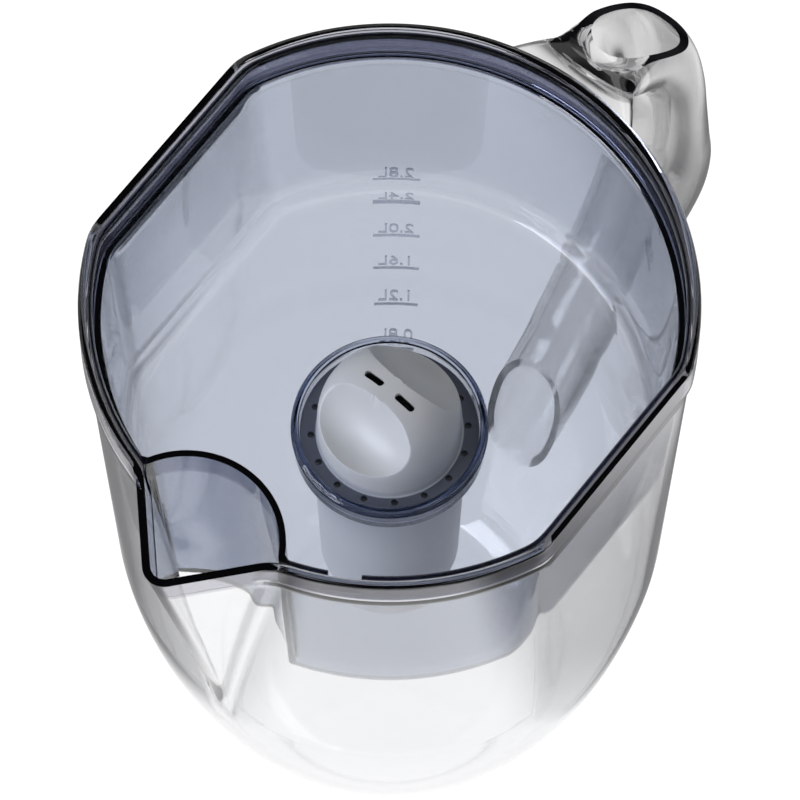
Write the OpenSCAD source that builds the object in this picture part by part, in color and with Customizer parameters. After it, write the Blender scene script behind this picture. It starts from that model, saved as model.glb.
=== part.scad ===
// Water filter pitcher: a clear jug with a hollow handle, a tinted hopper that hangs in its mouth,
// and a push-in filter cartridge that hangs in the hopper's floor.
// Millimetres. The origin is the middle of the base on the table: +X points to the
// handle, -X to the spout, +Z up, and the two flat sides face +Y and -Y.

/* [Jug] */
// Height of the rim above the table
rim_h = 252; // [248:1:258]
// Outer radius of the rim
rim_r = 84; // [83.5:0.1:85]
// Distance of each flat side from the middle, at the rim
flat_y = 77.4; // [76.8:0.1:78]
// Wall thickness
jug_wall = 2.6; // [2.2:0.1:2.8]
// Height of the thicker band round the rim
band_h = 13; // [11:0.5:15]
// How far the spout's nose reaches from the middle
spout_reach = 103.8; // [100:0.2:108]
// Half the spout's width where it leaves the rim
spout_half_w = 20.5; // [18:0.5:22]
// Lean of the spout's keel from the vertical, in degrees
spout_lean = 10.4; // [9:0.2:12]

/* [Handle] */
// Half the width of the grip
grip_half_w = 13; // [12:0.25:15]
// Wall thickness of the hollow grip
grip_wall = 2.6; // [2.2:0.1:3]

/* [Hopper] */
// Depth of the hopper's floor below the rim
hopper_depth = 84; // [78:1:88]
// Wall thickness
hopper_wall = 1.8; // [1.6:0.1:2.1]
// Radius of the concave wall that leaves room for the spout
recess_r = 24.6; // [23:0.2:26]

/* [Cartridge] */
// Outer radius of the cup just below its collar
cup_r = 22; // [21:0.25:22.5]
// Length of the cup below its collar
cup_len = 79; // [70:1:84]
// Height of the domed cap above its collar
dome_h = 28; // [24:0.5:30]
// Number of inlet holes round the cap
inlet_count = 16; // [12:1:18]
// How far the cartridge is turned in its seat, in degrees
cartridge_turn = -4; // [-10:1:10]

/* [Hidden] */
$fn = 96;
eps = 0.01;
far = 200;

// Jug: foot, bowl, drafted wall and rim band
foot_fillet = 20;
foot_arc = 66;
foot_r = 33.3;
waist_h = rim_h - 135;
waist_r = rim_r - 4.9;
bowl_depth = 135;
bowl_foot_r = 25.2;
bowl_power = 1.57;
bowl_start_h = foot_fillet * (1 - cos(foot_arc));
bowl_steps = 14;
under_band_r = rim_r - 1.1;
under_band_flat = flat_y - 0.7;
flat_draft = 0.013;
lip_wall = 2.2;
ledge_h = rim_h - 12;
slant_wall = jug_wall * 1.06;

// Spout
nose_r = 6;
nose_x = spout_reach - nose_r;
spout_wall = 2.4;
spout_depth = 175;
side_reach = norm([rim_r - nose_x, spout_half_w]);
side_turn = atan2(spout_half_w, nose_x - rim_r) + acos(nose_r / side_reach);

// Handle stations, down the tube: [x and depth of its finger side, x and depth of its outer side, half width]
handle_path = [[78, 5, 78, 0.6, 23], [83, 5, 83, 0.6, 20], [89.5, 7, 89.5, 0.8, 15.5],
               [92, 14.5, 95, 1.2, 13.6], [96, 23, 104, 2.2, grip_half_w], [102, 31, 113.5, 7, grip_half_w],
               [108.5, 40, 121.5, 15.5, grip_half_w], [114, 51, 127.5, 28, grip_half_w],
               [118, 63, 132.5, 43, grip_half_w], [120.5, 77, 136.5, 62, grip_half_w],
               [121.5, 91, 139.5, 84, grip_half_w], [121, 104, 143, 107, grip_half_w],
               [118, 115, 146.5, 129, grip_half_w], [111.5, 126, 145, 147, 12.8],
               [103.5, 137, 134, 159, 12.5], [94.5, 148.5, 119, 172, 12.4], [85, 160, 103, 188, 12.3],
               [74.5, 172, 84, 205, 12.3], [38, 196, 36, 232, 12.3]];
path_steps = 2;
tube_sides = 24;
tube_power = 0.84;
bore_start = 5;
bore_end = 35;

// Side view of the open mouth on the handle's top: [x, height above the rim]
mouth_side = [[90.5, 6], [90.5, -0.8], [95, -3], [100, -4.5], [106, -9], [117, -21.5], [123, -28],
              [134, -32.5], [170, -33], [170, 6]];

// Litre marks
mark_depths = [86, 103, 123.5, 144, 164, 184];
mark_turn = 36;
mark_span = 10;
mark_t = 0.8;
mark_rise = 0.4;

// Hopper: every clearance to the jug is 0.3
gap = 0.3;
hopper_top = rim_h - 0.6;
collar_out_r = rim_r - lip_wall - gap;
collar_out_flat = flat_y - lip_wall - gap;
collar_t = 1.4;
collar_foot = ledge_h + 0.2;
step_h = collar_foot + 1.6;
tank_r = 79.95;
tank_flat = 73.55;
tank_foot_r = 76.2;
tank_foot_flat = 68.6;
floor_top = rim_h - hopper_depth;
floor_t = 2;
floor_fillet = 6;
fillet_steps = 5;
recess_x = 88.9;
recess_draft = 2.4;
socket_r = 27.3;
socket_wall = 1.7;
socket_top = floor_top + 1.5;
socket_foot = floor_top - 10;
seat_r = cup_r + 0.6;
seat_t = 1.6;
latch_turn = 209;
latch_w = 9;
latch_h = 8;

// Cartridge: everything is stacked up from the seat
seal_t = 1.2;
seat_top = socket_foot + seat_t;
collar_base = seat_top + seal_t;
collar_r = socket_r - socket_wall - gap;
collar_h = 2.6;
cup_wall = 1.5;
cup_foot_r = cup_r - 1.8;
cup_foot = collar_base - cup_len;
cup_floor_t = 1.8;
cup_fillet = 3;
cap_t = 1.5;
gutter_h = collar_base + collar_h + cap_t;
dome_r = 20.4;
drum_h = 7;
crown_power = 0.82;
crown_steps = 14;
dome_wall = 1.5;
scoop_r = 21.5;
scoop_x = 24.8;
scoop_rise = 6;
inlet_ring_r = 22.2;
inlet_r = 1;
slot_y = 5.6;
slot_l = 6.6;
slot_w = 2;
outlet_slots = 12;
felt_t = 2.5;
screen_t = 1;
bed_gap = 0.2;
bed_split = 0.5;

// Radius of the bowl at a height: a power curve from the waist in to the foot
function bowl_r(z) = bowl_foot_r + (waist_r - bowl_foot_r)
    * pow(1 - pow((waist_h - z) / bowl_depth, bowl_power), 1 / bowl_power);

function bowl_height(i) = bowl_start_h + (waist_h - bowl_start_h) * i / bowl_steps;

// Outer radius of the wall above the waist, which drafts out in a straight line
function wall_r(z) = z < waist_h ? bowl_r(z)
    : waist_r + (under_band_r - waist_r) * (z - waist_h) / (rim_h - band_h - waist_h);

// A straight-sided gauge that cuts both flat sides: half widths at its top and at z = 0
module flats(top_y, foot_y, top_z) {
    rotate([90, 0, 90])
        linear_extrude(2 * far, center = true)
            polygon([[-foot_y, 0], [foot_y, 0], [top_y, top_z], [-top_y, top_z]]);
}

// A disc with the two flat sides
module flat_disc(r, flat, z0, z1) {
    translate([0, 0, z0])
        intersection() {
            cylinder(r = r, h = z1 - z0);
            translate([-far, -flat, -1])
                cube([2 * far, 2 * flat, z1 - z0 + 2]);
        }
}

// Body of the jug below the rim band, drawn in by inset
module jug_form(inset, slant_inset, top_z) {
    under_y = under_band_flat - inset;
    intersection() {
        rotate_extrude()
            polygon(concat(
                [[0, inset]],
                [for (a = [0 : 11 : foot_arc])
                    [foot_r + (foot_fillet - inset) * sin(a), foot_fillet - (foot_fillet - inset) * cos(a)]],
                [for (i = [1 : bowl_steps]) [bowl_r(bowl_height(i)) - slant_inset, bowl_height(i)]],
                [[under_band_r - inset, rim_h - band_h], [under_band_r - inset, top_z], [0, top_z]]));
        flats(under_y, under_y - flat_draft * top_z, top_z);
    }
}

// The spout's prism: a V in plan with a round nose, leaning in as it goes down
module spout_form(inset) {
    lean_x = cos(spout_lean);
    nose_cut = nose_r - inset;
    side_x = -rim_r - inset * cos(side_turn);
    side_y = spout_half_w - inset * sin(side_turn);
    tangent_x = -nose_x + nose_cut * cos(side_turn);
    tangent_y = nose_cut * sin(side_turn);
    intersection() {
        translate([0, 0, rim_h])
            rotate([0, -spout_lean, 0])
                translate([0, 0, -spout_depth])
                    union() {
                        translate([-nose_x * lean_x, 0, 0])
                            cylinder(r = nose_cut, h = 2 * spout_depth);
                        linear_extrude(2 * spout_depth)
                            polygon([[tangent_x * lean_x, tangent_y], [side_x * lean_x, side_y],
                                     [-50, side_y], [-50, -side_y], [side_x * lean_x, -side_y],
                                     [tangent_x * lean_x, -tangent_y]]);
                    }
        translate([-far, -far, rim_h - spout_depth + 20 + inset])
            cube([2 * far, 2 * far, spout_depth - 20 + (inset > 0 ? 1 : -inset)]);
    }
}

module jug() {
    color([0.86, 0.88, 0.9, 0.4])
        difference() {
            union() {
                jug_form(0, 0, rim_h - band_h + eps);
                flat_disc(rim_r, flat_y, rim_h - band_h, rim_h);
                spout_form(0);
            }
            jug_form(jug_wall, slant_wall, ledge_h + eps);
            flat_disc(rim_r - lip_wall, flat_y - lip_wall, ledge_h, rim_h + 1);
            spout_form(spout_wall);
        }
}

// Smooth path through the handle's stations (Catmull-Rom)
function station(i) = handle_path[max(0, min(len(handle_path) - 1, i))];
function blend_station(i, t) = 0.5 * (2 * station(i) + (station(i + 1) - station(i - 1)) * t
    + (2 * station(i - 1) - 5 * station(i) + 4 * station(i + 1) - station(i + 2)) * t * t
    + (3 * station(i) - station(i - 1) - 3 * station(i + 1) + station(i + 2)) * t * t * t);
handle_rings = concat(
    [for (i = [0 : len(handle_path) - 2]) for (k = [0 : path_steps - 1]) blend_station(i, k / path_steps)],
    [station(len(handle_path) - 1)]);
ring_count = len(handle_rings);

// A squarish oval's sine or cosine
function oval(v) = sign(v) * pow(abs(v), tube_power);

// One point of a ring, drawn in by inset: k runs from the outer side over +Y to the finger side and back
function ring_point(s, k, inset, narrow) =
    let (a = 360 * k / tube_sides, span = norm([s[2] - s[0], s[3] - s[1]]),
         share = (span / 2 - inset) / span * oval(cos(a)))
    [(s[0] + s[2]) / 2 + (s[2] - s[0]) * share, (s[4] - inset) * narrow * oval(sin(a)),
     rim_h - (s[1] + s[3]) / 2 - (s[3] - s[1]) * share];

// A closed tube through rings first to last, drawn in by inset, whose first few rings may start narrow
module tube(first, last, inset, round_start) {
    n = tube_sides;
    count = last - first;
    points = [for (i = [0 : count]) for (k = [0 : n - 1])
        ring_point(handle_rings[first + i], k, inset, round_start ? sin(90 * min(1, (i + 0.4) / 4)) : 1)];
    sides = [for (i = [0 : count - 1]) for (k = [0 : n - 1]) for (half = [0, 1])
        let (a = i * n + k, b = i * n + (k + 1) % n)
            half == 0 ? [a, b, b + n] : [a, b + n, a + n]];
    top = [for (k = [1 : n - 2]) [0, k + 1, k]];
    foot = [for (k = [1 : n - 2]) [count * n, count * n + k, count * n + k + 1]];
    polyhedron(points, concat(sides, top, foot), convexity = 8);
}

module handle() {
    color([0.86, 0.88, 0.9, 0.4])
        difference() {
            tube(0, ring_count - 1, 0, false);
            tube(bore_start, bore_end, grip_wall, true);
            translate([0, 25, rim_h])
                rotate([90, 0, 0])
                    linear_extrude(50)
                        polygon(mouth_side);
            jug_form(1, 1.06, rim_h - 30);
            translate([0, 0, rim_h - 30 - eps])
                cylinder(r = rim_r - 2, h = 30 - band_h + 2 * eps);
            translate([0, 0, rim_h - band_h])
                cylinder(r = rim_r - 1, h = band_h + 20);
        }
}

// Raised lines on the outside of the wall, beside the numbers
module litre_marks() {
    color([0.5, 0.52, 0.56])
        for (depth = mark_depths)
            let (z = rim_h - depth, r = wall_r(rim_h - depth))
                translate([0, 0, z - mark_t / 2])
                    rotate([0, 0, mark_turn - mark_span / 2])
                        rotate_extrude(angle = mark_span)
                            translate([r - 0.3, 0])
                                square([0.3 + mark_rise, mark_t]);
}

// The hopper's tank, drawn in by inset, from floor_z up to top_z
module tank_form(inset, floor_z, top_z) {
    fillet = floor_fillet - inset;
    foot_x = tank_foot_r - inset;
    tank_span = top_z - floor_z;
    intersection() {
        rotate_extrude()
            polygon(concat(
                [[0, floor_z]],
                [for (i = [0 : fillet_steps])
                    let (a = 90 * i / fillet_steps)
                        [foot_x - fillet + fillet * sin(a), floor_z + fillet - fillet * cos(a)]],
                [[tank_r - inset, top_z], [0, top_z]]));
        translate([0, 0, floor_z])
            flats(tank_flat - inset, tank_foot_flat - inset, tank_span);
    }
}

// The concave wall opposite the spout, wider at its foot
module recess_form(extra) {
    translate([-recess_x, 0, floor_top - 20])
        cylinder(r1 = recess_r + recess_draft + extra, r2 = recess_r + extra, h = hopper_depth + 30);
}

// A slot through the collar for a lid's catch
module latch_slot() {
    rotate([0, 0, latch_turn])
        translate([tank_r - 1, -latch_w / 2, hopper_top - latch_h])
            cube([10, latch_w, latch_h + 1]);
}

module hopper() {
    color([0.5, 0.52, 0.62, 0.5])
        difference() {
            union() {
                difference() {
                    union() {
                        tank_form(0, floor_top - floor_t, step_h);
                        flat_disc(collar_out_r, collar_out_flat, collar_foot, hopper_top);
                    }
                    difference() {
                        union() {
                            tank_form(hopper_wall, floor_top, step_h + eps);
                            flat_disc(collar_out_r - collar_t, collar_out_flat - collar_t, step_h,
                                      hopper_top + 1);
                        }
                        recess_form(hopper_wall);
                    }
                    recess_form(0);
                    latch_slot();
                }
                translate([0, 0, socket_foot])
                    cylinder(r = socket_r, h = socket_top - socket_foot);
            }
            translate([0, 0, seat_top])
                cylinder(r = socket_r - socket_wall, h = hopper_depth);
            translate([0, 0, socket_foot - 1])
                cylinder(r = seat_r, h = hopper_depth);
        }
}

module cartridge_seal() {
    color([0.78, 0.8, 0.84])
        difference() {
            translate([0, 0, seat_top + 0.05])
                cylinder(r = collar_r, h = seal_t - 0.1);
            translate([0, 0, seat_top - 1])
                cylinder(r = seat_r + 0.2, h = seal_t + 2);
        }
}

// Cup: a collar on the seat, a tapered tube below it and an outlet grille in its floor
module cartridge_cup() {
    inner_r = cup_r - cup_wall;
    inner_foot_r = cup_foot_r - cup_wall;
    inner_floor = cup_foot + cup_floor_t;
    color([0.82, 0.83, 0.85])
        difference() {
            rotate_extrude()
                polygon(concat(
                    [[0, cup_foot]],
                    [for (i = [0 : fillet_steps])
                        let (a = 90 * i / fillet_steps)
                            [cup_foot_r - cup_fillet * (1 - sin(a)), cup_foot + cup_fillet * (1 - cos(a))]],
                    [[cup_r, collar_base], [collar_r, collar_base], [collar_r, collar_base + collar_h],
                     [collar_r - cup_wall, collar_base + collar_h], [collar_r - cup_wall, collar_base + 1.3],
                     [inner_r, collar_base + 1.3], [inner_foot_r, inner_floor], [0, inner_floor]]));
            for (i = [0 : outlet_slots - 1])
                rotate([0, 0, cartridge_turn + 360 * i / outlet_slots])
                    translate([7, -0.7, cup_foot - 1])
                        cube([8, 1.4, cup_floor_t + 2]);
        }
}

// Outer form of the domed cap, drawn in by inset: a short drum, a full crown and two finger scoops
module dome_form(inset) {
    drum_r = dome_r - inset;
    foot = gutter_h - cap_t - (inset > 0 ? 1 : 0);
    crown_h = dome_h - drum_h - inset;
    difference() {
        rotate_extrude()
            polygon(concat(
                [[0, foot], [drum_r, foot]],
                [for (i = [0 : crown_steps - 1])
                    let (a = 90 * i / crown_steps)
                        [drum_r * pow(cos(a), crown_power),
                         gutter_h + drum_h + crown_h * pow(sin(a), crown_power)]],
                [[0, gutter_h + dome_h - inset]]));
        for (side = [-1, 1])
            translate([side * scoop_x, 0, gutter_h + dome_h + scoop_rise])
                sphere(r = scoop_r + inset);
    }
}

module cartridge_cap() {
    slot_hole_h = 20;
    color([0.8, 0.8, 0.83])
        rotate([0, 0, cartridge_turn])
            difference() {
                union() {
                    translate([0, 0, gutter_h - cap_t])
                        cylinder(r = collar_r, h = cap_t);
                    dome_form(0);
                }
                dome_form(dome_wall);
                for (i = [0 : inlet_count - 1])
                    rotate([0, 0, 360 * i / inlet_count])
                        translate([inlet_ring_r, 0, gutter_h - cap_t - 1])
                            cylinder(r = inlet_r, h = cap_t + 2, $fn = 24);
                for (side = [-1, 1])
                    translate([-slot_w / 2, side * slot_y - slot_l / 2, gutter_h + dome_h - slot_hole_h / 2])
                        cube([slot_w, slot_l, slot_hole_h]);
            }
}

// Inner radius of the cup at a height, less a small gap
function fill_r(z) = cup_foot_r - cup_wall - bed_gap
    + (cup_r - cup_foot_r) * (z - cup_foot - cup_floor_t) / (collar_base + 1.3 - cup_foot - cup_floor_t);

// A layer that fills the cup's bore between two heights
module layer(z0, z1) {
    translate([0, 0, z0])
        cylinder(r1 = fill_r(z0), r2 = fill_r(z1), h = z1 - z0);
}

layer_gap = 0.05;
felt_foot = cup_foot + cup_floor_t + layer_gap;
resin_foot = felt_foot + felt_t + layer_gap;
screen_foot = collar_base + 1.3 - screen_t;
carbon_top = screen_foot - layer_gap;
split_h = resin_foot + (carbon_top - resin_foot) * bed_split;

module outlet_felt() {
    color([0.93, 0.93, 0.92])
        layer(felt_foot, felt_foot + felt_t);
}

module resin_bed() {
    color([0.86, 0.72, 0.42])
        layer(resin_foot, split_h);
}

module divider_felt() {
    color([0.93, 0.93, 0.92])
        layer(split_h + layer_gap, split_h + layer_gap + felt_t);
}

module carbon_bed() {
    color([0.1, 0.1, 0.11])
        layer(split_h + 2 * layer_gap + felt_t, carbon_top);
}

module inlet_screen() {
    color([0.9, 0.9, 0.9])
        layer(screen_foot, screen_foot + screen_t);
}

jug();
handle();
litre_marks();
hopper();
cartridge_cup();
cartridge_cap();
cartridge_seal();
inlet_screen();
carbon_bed();
divider_felt();
resin_bed();
outlet_felt();
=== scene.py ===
"""Water filter pitcher: a clear jug with a hollow handle, a tinted hopper and a filter cartridge.

Lengths in the classes are millimetres in the model's frame (base at z = 0, +X to the handle, -X to the spout)
and become metres when a mesh is made.
"""
import logging
import math
from dataclasses import dataclass, field
from enum import Enum
from typing import Any, Sequence

import bmesh
import bpy
import numpy as np
from mathutils import Matrix, Vector

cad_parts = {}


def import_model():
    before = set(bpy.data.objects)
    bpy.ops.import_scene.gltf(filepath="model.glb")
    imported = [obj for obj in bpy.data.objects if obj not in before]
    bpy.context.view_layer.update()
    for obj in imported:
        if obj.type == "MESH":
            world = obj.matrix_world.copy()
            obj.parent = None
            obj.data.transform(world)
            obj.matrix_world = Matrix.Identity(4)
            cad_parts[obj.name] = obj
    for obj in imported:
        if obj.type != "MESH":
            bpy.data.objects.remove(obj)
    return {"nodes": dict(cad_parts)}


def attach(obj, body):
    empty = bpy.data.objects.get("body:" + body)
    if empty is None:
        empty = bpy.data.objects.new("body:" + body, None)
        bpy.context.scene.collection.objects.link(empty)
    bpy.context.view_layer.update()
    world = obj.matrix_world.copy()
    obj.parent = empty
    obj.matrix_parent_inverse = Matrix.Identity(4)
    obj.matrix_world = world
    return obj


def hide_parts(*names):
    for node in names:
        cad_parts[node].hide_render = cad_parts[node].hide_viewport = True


LOG = logging.getLogger("pitcher")
MM = 0.001
FAR_OUT = 500.0
Array = np.ndarray


# ---------------------------------------------------------------- shader maths

class Wire:
    """A socket that carries a number, with Python's operators as Math nodes."""

    def __init__(self, graph: "Graph", socket: Any) -> None:
        """Keeps the graph and one of its output sockets."""
        self.graph = graph
        self.socket = socket

    def _math(self, operation: str, first: Any, second: Any) -> "Wire":
        """Adds one Math node and returns its value."""
        return self.graph.node("ShaderNodeMath", {"operation": operation}, {0: first, 1: second}).out()

    def __add__(self, other: Any) -> "Wire":
        """Sum."""
        return self._math("ADD", self, other)

    def __rsub__(self, other: Any) -> "Wire":
        """Difference with the number first."""
        return self._math("SUBTRACT", other, self)

    def __mul__(self, other: Any) -> "Wire":
        """Product."""
        return self._math("MULTIPLY", self, other)

    def __pow__(self, other: Any) -> "Wire":
        """Power."""
        return self._math("POWER", self, other)

    def at_least(self, other: Any) -> "Wire":
        """The greater of the two values."""
        return self._math("MAXIMUM", self, other)

    def step(self, low: float, high: float) -> "Wire":
        """Rises smoothly from 0 at low to 1 at high."""
        return self.graph.node("ShaderNodeMapRange", {"interpolation_type": "SMOOTHSTEP"},
                               {"Value": self, "From Min": low, "From Max": high}).out("Result")


class Node:
    """One shader node, whose outputs come back as wires."""

    def __init__(self, graph: "Graph", node: Any) -> None:
        """Keeps the graph and the node."""
        self.graph = graph
        self.node = node

    def out(self, name: str | int = 0) -> Wire:
        """Output socket by name or number."""
        return Wire(self.graph, self.node.outputs[name])


class Graph:
    """The node tree of one material."""

    def __init__(self, name: str) -> None:
        """Makes an empty material of that name."""
        self.material = bpy.data.materials.new(name)
        self.material.use_nodes = True
        self.tree = self.material.node_tree
        self.tree.nodes.clear()

    def node(self, kind: str, settings: dict[str, Any] | None = None,
             inputs: dict[str | int, Any] | None = None) -> Node:
        """Adds a node.

        Args:
            kind: the node's type name.
            settings: properties set before the sockets; a ramp's stops are given as "stops".
            inputs: socket name or number to a value or a wire.

        Returns:
            The new node.
        """
        made = self.tree.nodes.new(kind)
        for key, value in (settings or {}).items():
            if key == "stops":
                ramp = made.color_ramp
                while len(ramp.elements) < len(value):
                    ramp.elements.new(0.5)
                for element, (place, colour) in zip(ramp.elements, value):
                    element.position = place
                    element.color = (*colour, 1.0)
            else:
                setattr(made, key, value)
        for key, value in (inputs or {}).items():
            socket = made.inputs[key]
            if isinstance(value, Wire):
                self.tree.links.new(value.socket, socket)
            elif isinstance(value, tuple) and len(value) == 3 and socket.type == "RGBA":
                socket.default_value = (*value, 1.0)
            else:
                socket.default_value = value
        return Node(self, made)

    def place(self) -> Wire:
        """Object coordinates, in metres."""
        return self.node("ShaderNodeTexCoord").out("Object")

    def axes(self, place: Wire) -> tuple[Wire, Wire, Wire]:
        """The x, y and z of a vector wire."""
        split = self.node("ShaderNodeSeparateXYZ", None, {0: place})
        return split.out("X"), split.out("Y"), split.out("Z")

    def noise(self, place: Wire, scale: float, detail: float = 3.0) -> Wire:
        """Noise from 0 to 1 with about scale bumps a metre."""
        return self.node("ShaderNodeTexNoise", None,
                         {"Vector": place, "Scale": scale, "Detail": detail}).out(0)

    def mix_colour(self, factor: Any, first: Any, second: Any) -> Wire:
        """A colour between two, by factor."""
        return self.node("ShaderNodeMix", {"data_type": "RGBA"},
                         {0: factor, 6: first, 7: second}).out(2)

    def bump(self, height: Wire, distance: float, strength: float = 1.0) -> Wire:
        """Normal from a height field; distance is its depth in metres."""
        return self.node("ShaderNodeBump", None,
                         {"Height": height, "Distance": distance, "Strength": strength}).out("Normal")

    def mix_shader(self, factor: Any, first: Wire, second: Wire) -> Wire:
        """A shader between two, by factor."""
        return self.node("ShaderNodeMixShader", None, {0: factor, 1: first, 2: second}).out()

    def finish(self, surface: Wire, volume: Wire | None = None) -> Any:
        """Links the surface, and the inside if there is one, to the output and returns the material."""
        ends = {"Surface": surface} if volume is None else {"Surface": surface, "Volume": volume}
        self.node("ShaderNodeOutputMaterial", None, ends)
        return self.material


# ---------------------------------------------------------------- finishes

class Grain(Enum):
    """What loose filling looks like."""
    CARBON = "carbon"
    RESIN = "resin"


@dataclass(frozen=True)
class ClearPlastic:
    """Injection-moulded see-through plastic, with faint flow waves and polish marks.

    Its body colour deepens along light's way through it, so that thick edges look darker than thin walls. A
    moulding whose upper edge looks darker also has painted shade there: from the height rim_from up, in metres,
    its colour turns to a darker rim colour.
    """
    name: str
    tint: tuple[float, float, float]
    shade: tuple[float, float, float]
    body: tuple[float, float, float] = (0.6, 0.62, 0.66)
    density: float = 0.0
    rim_painted_shade: tuple[float, float, float] | None = None
    rim_from: float = 0.0
    ior: float = 1.5
    roughness: float = 0.012
    wave_depth: float = 0.00002
    rim_blend: float = 0.001

    def build(self) -> Any:
        """Principled glass; light that only passes through to other pieces isn't bent.

        Returns:
            The material.
        """
        g = Graph(self.name)
        place = g.place()
        haze = g.noise(place, 60.0, 4.0)
        waves = g.noise(place, 22.0, 1.0)
        colour = g.mix_colour(haze, self.tint, tuple(c * 0.985 for c in self.tint))
        # Painted shade: from rim_from up the colour turns darker, for the dark that the rim's edge shows.
        if self.rim_painted_shade is not None:
            height = g.axes(place)[2]
            at_painted_rim_shade = height.step(self.rim_from, self.rim_from + self.rim_blend)
            colour = g.mix_colour(at_painted_rim_shade, colour, self.rim_painted_shade)
        glass = g.node("ShaderNodeBsdfPrincipled", None, {
            "Base Color": colour,
            "Roughness": haze * 0.01 + self.roughness,
            "IOR": self.ior,
            "Transmission Weight": 1.0,
            "Normal": g.bump(waves, self.wave_depth, 0.5),
        }).out()
        pass_light = g.node("ShaderNodeBsdfTransparent", None, {"Color": self.shade}).out()
        path = g.node("ShaderNodeLightPath")
        soft = path.out("Is Shadow Ray").at_least(path.out("Is Diffuse Ray"))
        inside = None
        if self.density:
            inside = g.node("ShaderNodeVolumeAbsorption", None,
                            {"Color": self.body, "Density": self.density}).out()
        return g.finish(g.mix_shader(soft, glass, pass_light), inside)


@dataclass(frozen=True)
class SatinPlastic:
    """Opaque moulded plastic with a fine spark-eroded grain."""
    name: str
    colour: tuple[float, float, float]
    ring_colour_and_shade: tuple[float, float, float]
    groove_from: float = 0.0207
    groove_blend: float = 0.0004
    roughness: float = 0.33

    def build(self) -> Any:
        """Principled plastic whose colour turns darker outside a radius: partly a darker ring, partly painted
        shade where the ring lies sunk in the socket.

        Returns:
            The material.
        """
        g = Graph(self.name)
        place = g.place()
        x, y, _ = g.axes(place)
        radius = (x * x + y * y) ** 0.5
        # Outside groove_from the colour is partly a darker ring and partly painted shade of the sunk ring.
        outside = radius.step(self.groove_from, self.groove_from + self.groove_blend)
        cloud = g.noise(place, 45.0, 5.0)
        grain = g.noise(place, 2600.0, 2.0)
        body = g.mix_colour(cloud, self.colour, tuple(c * 0.94 for c in self.colour))
        return g.finish(g.node("ShaderNodeBsdfPrincipled", None, {
            "Base Color": g.mix_colour(outside, body, self.ring_colour_and_shade),
            "Roughness": grain * 0.08 + self.roughness,
            "Normal": g.bump(grain, 0.00002, 0.35),
        }).out())


@dataclass(frozen=True)
class Granules:
    """A bed of loose grains."""
    name: str
    grain: Grain

    def build(self) -> Any:
        """Cells of a Voronoi pattern, each with its own tone and a rounded top.

        Returns:
            The material.
        """
        g = Graph(self.name)
        dark = self.grain is Grain.CARBON
        place = g.place()
        size = 900.0 if dark else 1500.0
        cells = g.node("ShaderNodeTexVoronoi", None, {"Vector": place, "Scale": size})
        tone = g.noise(place, size * 0.9, 1.0)
        low, high = (((0.012, 0.012, 0.013), (0.07, 0.07, 0.075)) if dark
                     else ((0.5, 0.3, 0.09), (0.8, 0.6, 0.3)))
        return g.finish(g.node("ShaderNodeBsdfPrincipled", None, {
            "Base Color": g.mix_colour(tone, low, high),
            "Roughness": tone * 0.3 + (0.45 if dark else 0.25),
            "Normal": g.bump(1.0 - cells.out("Distance"), 0.0004, 0.9),
        }).out())


@dataclass(frozen=True)
class Felt:
    """Pressed white fibre."""
    name: str
    colour: tuple[float, float, float]

    def build(self) -> Any:
        """Two sizes of stretched noise make the fibres.

        Returns:
            The material.
        """
        g = Graph(self.name)
        place = g.place()
        fibres = g.noise(place, 1800.0, 6.0)
        tufts = g.noise(place, 260.0, 3.0)
        return g.finish(g.node("ShaderNodeBsdfPrincipled", None, {
            "Base Color": g.mix_colour(tufts, self.colour, tuple(c * 0.86 for c in self.colour)),
            "Roughness": fibres * 0.1 + 0.85,
            "Sheen Weight": 0.3,
            "Normal": g.bump(fibres + tufts, 0.0003, 0.8),
        }).out())


@dataclass(frozen=True)
class WovenScreen:
    """Fine woven plastic gauze."""
    name: str
    colour: tuple[float, float, float]
    pitch: float = 0.0005

    def build(self) -> Any:
        """Two sets of sine threads cross over each other.

        Returns:
            The material.
        """
        g = Graph(self.name)
        x, y, _ = g.axes(g.place())
        turn = 2.0 * math.pi / self.pitch
        warp = g.node("ShaderNodeMath", {"operation": "SINE"}, {0: x * turn}).out()
        weft = g.node("ShaderNodeMath", {"operation": "SINE"}, {0: y * turn}).out()
        thread = warp.at_least(weft)
        gap = tuple(c * 0.25 for c in self.colour)
        return g.finish(g.node("ShaderNodeBsdfPrincipled", None, {
            "Base Color": g.mix_colour(thread.step(-0.2, 0.6), gap, self.colour),
            "Roughness": 0.6 - thread * 0.05,
            "Normal": g.bump(thread, 0.0001, 0.7),
        }).out())


@dataclass(frozen=True)
class SoftRubber:
    """Matt sealing rubber."""
    name: str
    colour: tuple[float, float, float]

    def build(self) -> Any:
        """Even colour with dust and a faint skin texture.

        Returns:
            The material.
        """
        g = Graph(self.name)
        place = g.place()
        dust = g.noise(place, 300.0, 5.0)
        return g.finish(g.node("ShaderNodeBsdfPrincipled", None, {
            "Base Color": g.mix_colour(dust, self.colour, tuple(min(1.0, c * 1.25) for c in self.colour)),
            "Roughness": dust * 0.2 + 0.55,
            "Normal": g.bump(dust, 0.00003, 0.5),
        }).out())


# ---------------------------------------------------------------- surface maths

def soft_min(first: Array, second: Array, radius: float) -> Array:
    """The smaller of two values, blended by a parabola where they differ by less than radius."""
    share = np.clip(0.5 + 0.5 * (second - first) / radius, 0.0, 1.0)
    return second + (first - second) * share - radius * share * (1.0 - share)


def soft_max(first: Array, second: Array, radius: float) -> Array:
    """The larger of two values, blended as soft_min is."""
    return -soft_min(-first, -second, radius)


def ramp(value: Array, low: float, high: float) -> Array:
    """Rises from 0 at low to 1 at high along 3t^2 - 2t^3."""
    t = np.clip((value - low) / (high - low), 0.0, 1.0)
    return t * t * (3.0 - 2.0 * t)


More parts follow.
